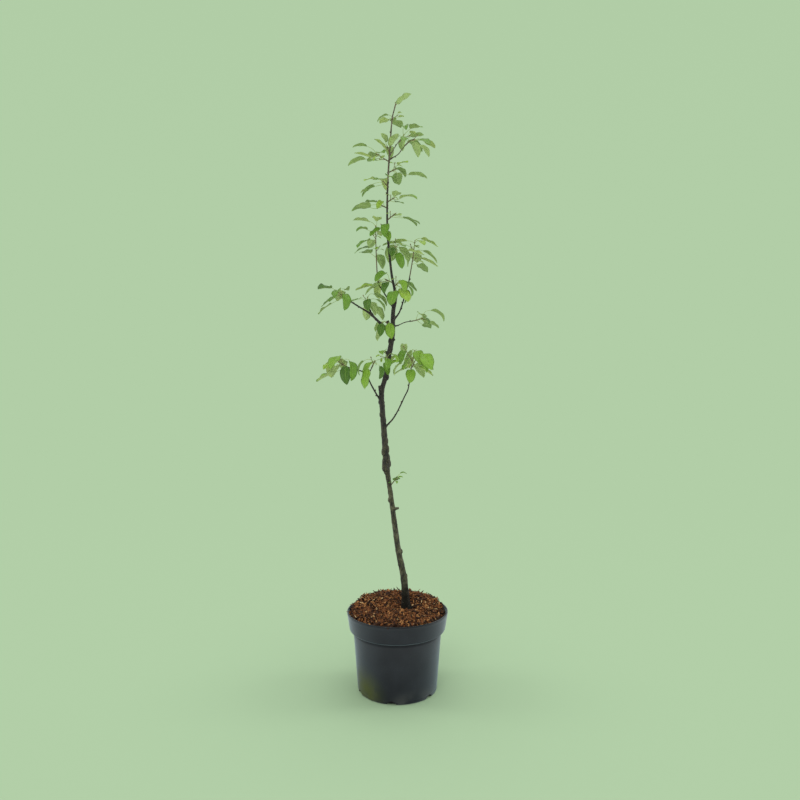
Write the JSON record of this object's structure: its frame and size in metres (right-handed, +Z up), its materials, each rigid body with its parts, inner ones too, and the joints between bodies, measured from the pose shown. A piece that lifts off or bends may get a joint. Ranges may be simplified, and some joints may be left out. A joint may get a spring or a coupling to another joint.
{
  "type": "potted young pear tree",
  "caption": "Slim young pear tree with a winding stem, short side boughs and airy clusters of stalked oval leaves, growing in a round dark plastic nursery pot topped with bark mulch.",
  "frame": {"origin": "middle of the pot's flat underside, on the ground", "axes": "+Z up along the pot's axis, +X to the right and -Y to the front as the picture shows the tree"},
  "size_m": [0.2385, 0.185, 1.1006],
  "materials": {
    "pot": "injection-moulded blue-black plastic with a soft satin sheen",
    "soil": "loose red-brown bark and coir mulch, matt",
    "bark": "grey-brown young bark, matt, with lenticels and buds",
    "foliage": "smooth green leaf, satin above and matt below"
  },
  "bodies": {
    "root": {"pot": "pot", "soil": "soil", "trunk": "bark", "left_upright_bough": "bark", "lower_left_bough": "bark", "lower_left_fork": "bark", "lower_right_bough": "bark", "middle_left_bough": "bark", "middle_left_fork": "bark", "middle_right_bough": "bark", "right_upright_bough": "bark", "top_right_bough": "bark", "upper_right_bough": "bark", "foliage_centre_left": "foliage", "foliage_centre_right": "foliage", "foliage_leader": "foliage", "foliage_leader_front": "foliage", "foliage_left_high": "foliage", "foliage_left_middle": "foliage", "foliage_left_upright": "foliage", "foliage_low_front": "foliage", "foliage_low_shoot": "foliage", "foliage_lower_fork": "foliage", "foliage_lower_left": "foliage", "foliage_lower_right": "foliage", "foliage_middle_fork": "foliage", "foliage_middle_left": "foliage", "foliage_middle_right": "foliage", "foliage_right_high": "foliage", "foliage_right_low": "foliage", "foliage_right_middle": "foliage", "foliage_right_upright": "foliage", "foliage_spur_front": "foliage", "foliage_tip": "foliage", "foliage_top_right": "foliage", "foliage_upper_front": "foliage", "foliage_upper_left": "foliage", "foliage_upper_right": "foliage", "foliage_waist": "foliage"}
  },
  "joints": []
}
